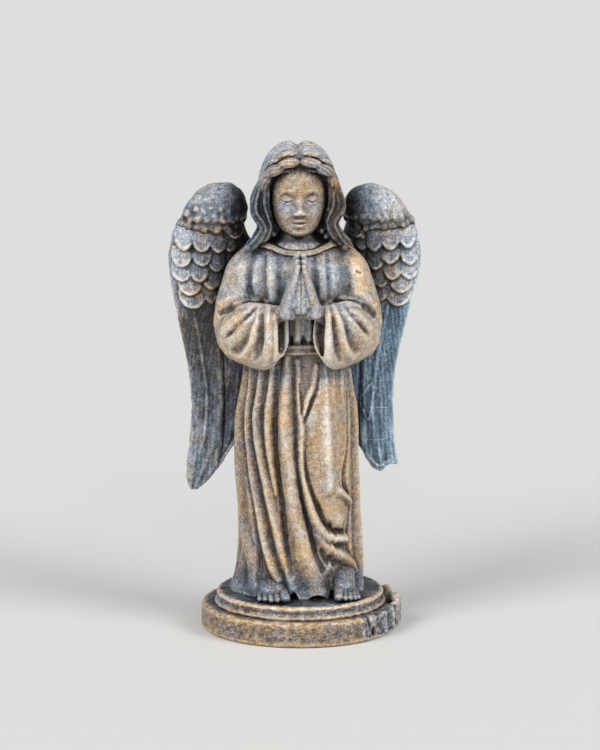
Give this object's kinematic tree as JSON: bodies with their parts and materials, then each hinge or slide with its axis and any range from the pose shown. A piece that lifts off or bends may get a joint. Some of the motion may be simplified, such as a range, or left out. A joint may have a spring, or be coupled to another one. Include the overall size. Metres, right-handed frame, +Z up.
{
  "type": "angel figurine",
  "caption": "Robed angel figurine with folded wings and hands joined in prayer, standing on a stepped round base with a felt underside.",
  "frame": {"origin": "centre of the felt pad's underside, where the base rests", "axes": "+Z up, the figure faces -Y, and its own left hand is towards +X"},
  "size_m": [0.1042, 0.08, 0.1988],
  "materials": {
    "felt": "matt felt",
    "base_gold": "cast resin, dark wash and rubbed gold",
    "base_dark": "cast resin, dark wash",
    "robe_gold": "cast resin, dark wash and rubbed gold",
    "belt_dark": "cast resin, dark wash",
    "skin_grey": "cast resin, dark wash and rubbed silver",
    "face_tan": "cast resin, dark wash and rubbed gold",
    "hair_blue": "cast resin, dark wash and rubbed silver",
    "wing_blue": "cast resin, dark wash and rubbed silver",
    "steel": "drawn wire"
  },
  "bodies": {
    "root": {"felt_pad": "felt", "base_plinth": "base_gold", "base_step": "base_dark", "core_rod": "steel", "robe_skirt": "robe_gold", "waist_belt": "belt_dark", "robe_bodice": "robe_gold", "neck_collar": "robe_gold", "right_sleeve": "robe_gold", "left_sleeve": "robe_gold", "right_hand": "skin_grey", "left_hand": "skin_grey", "right_foot": "skin_grey", "left_foot": "skin_grey", "head": "face_tan", "neck_dowel": "steel", "hair_cap": "hair_blue", "right_lock": "hair_blue", "left_lock": "hair_blue", "right_wing": "wing_blue", "left_wing": "wing_blue", "right_coverts": "wing_blue", "left_coverts": "wing_blue", "right_wing_crest": "wing_blue", "left_wing_crest": "wing_blue", "wing_dowels": "steel"}
  },
  "joints": []
}
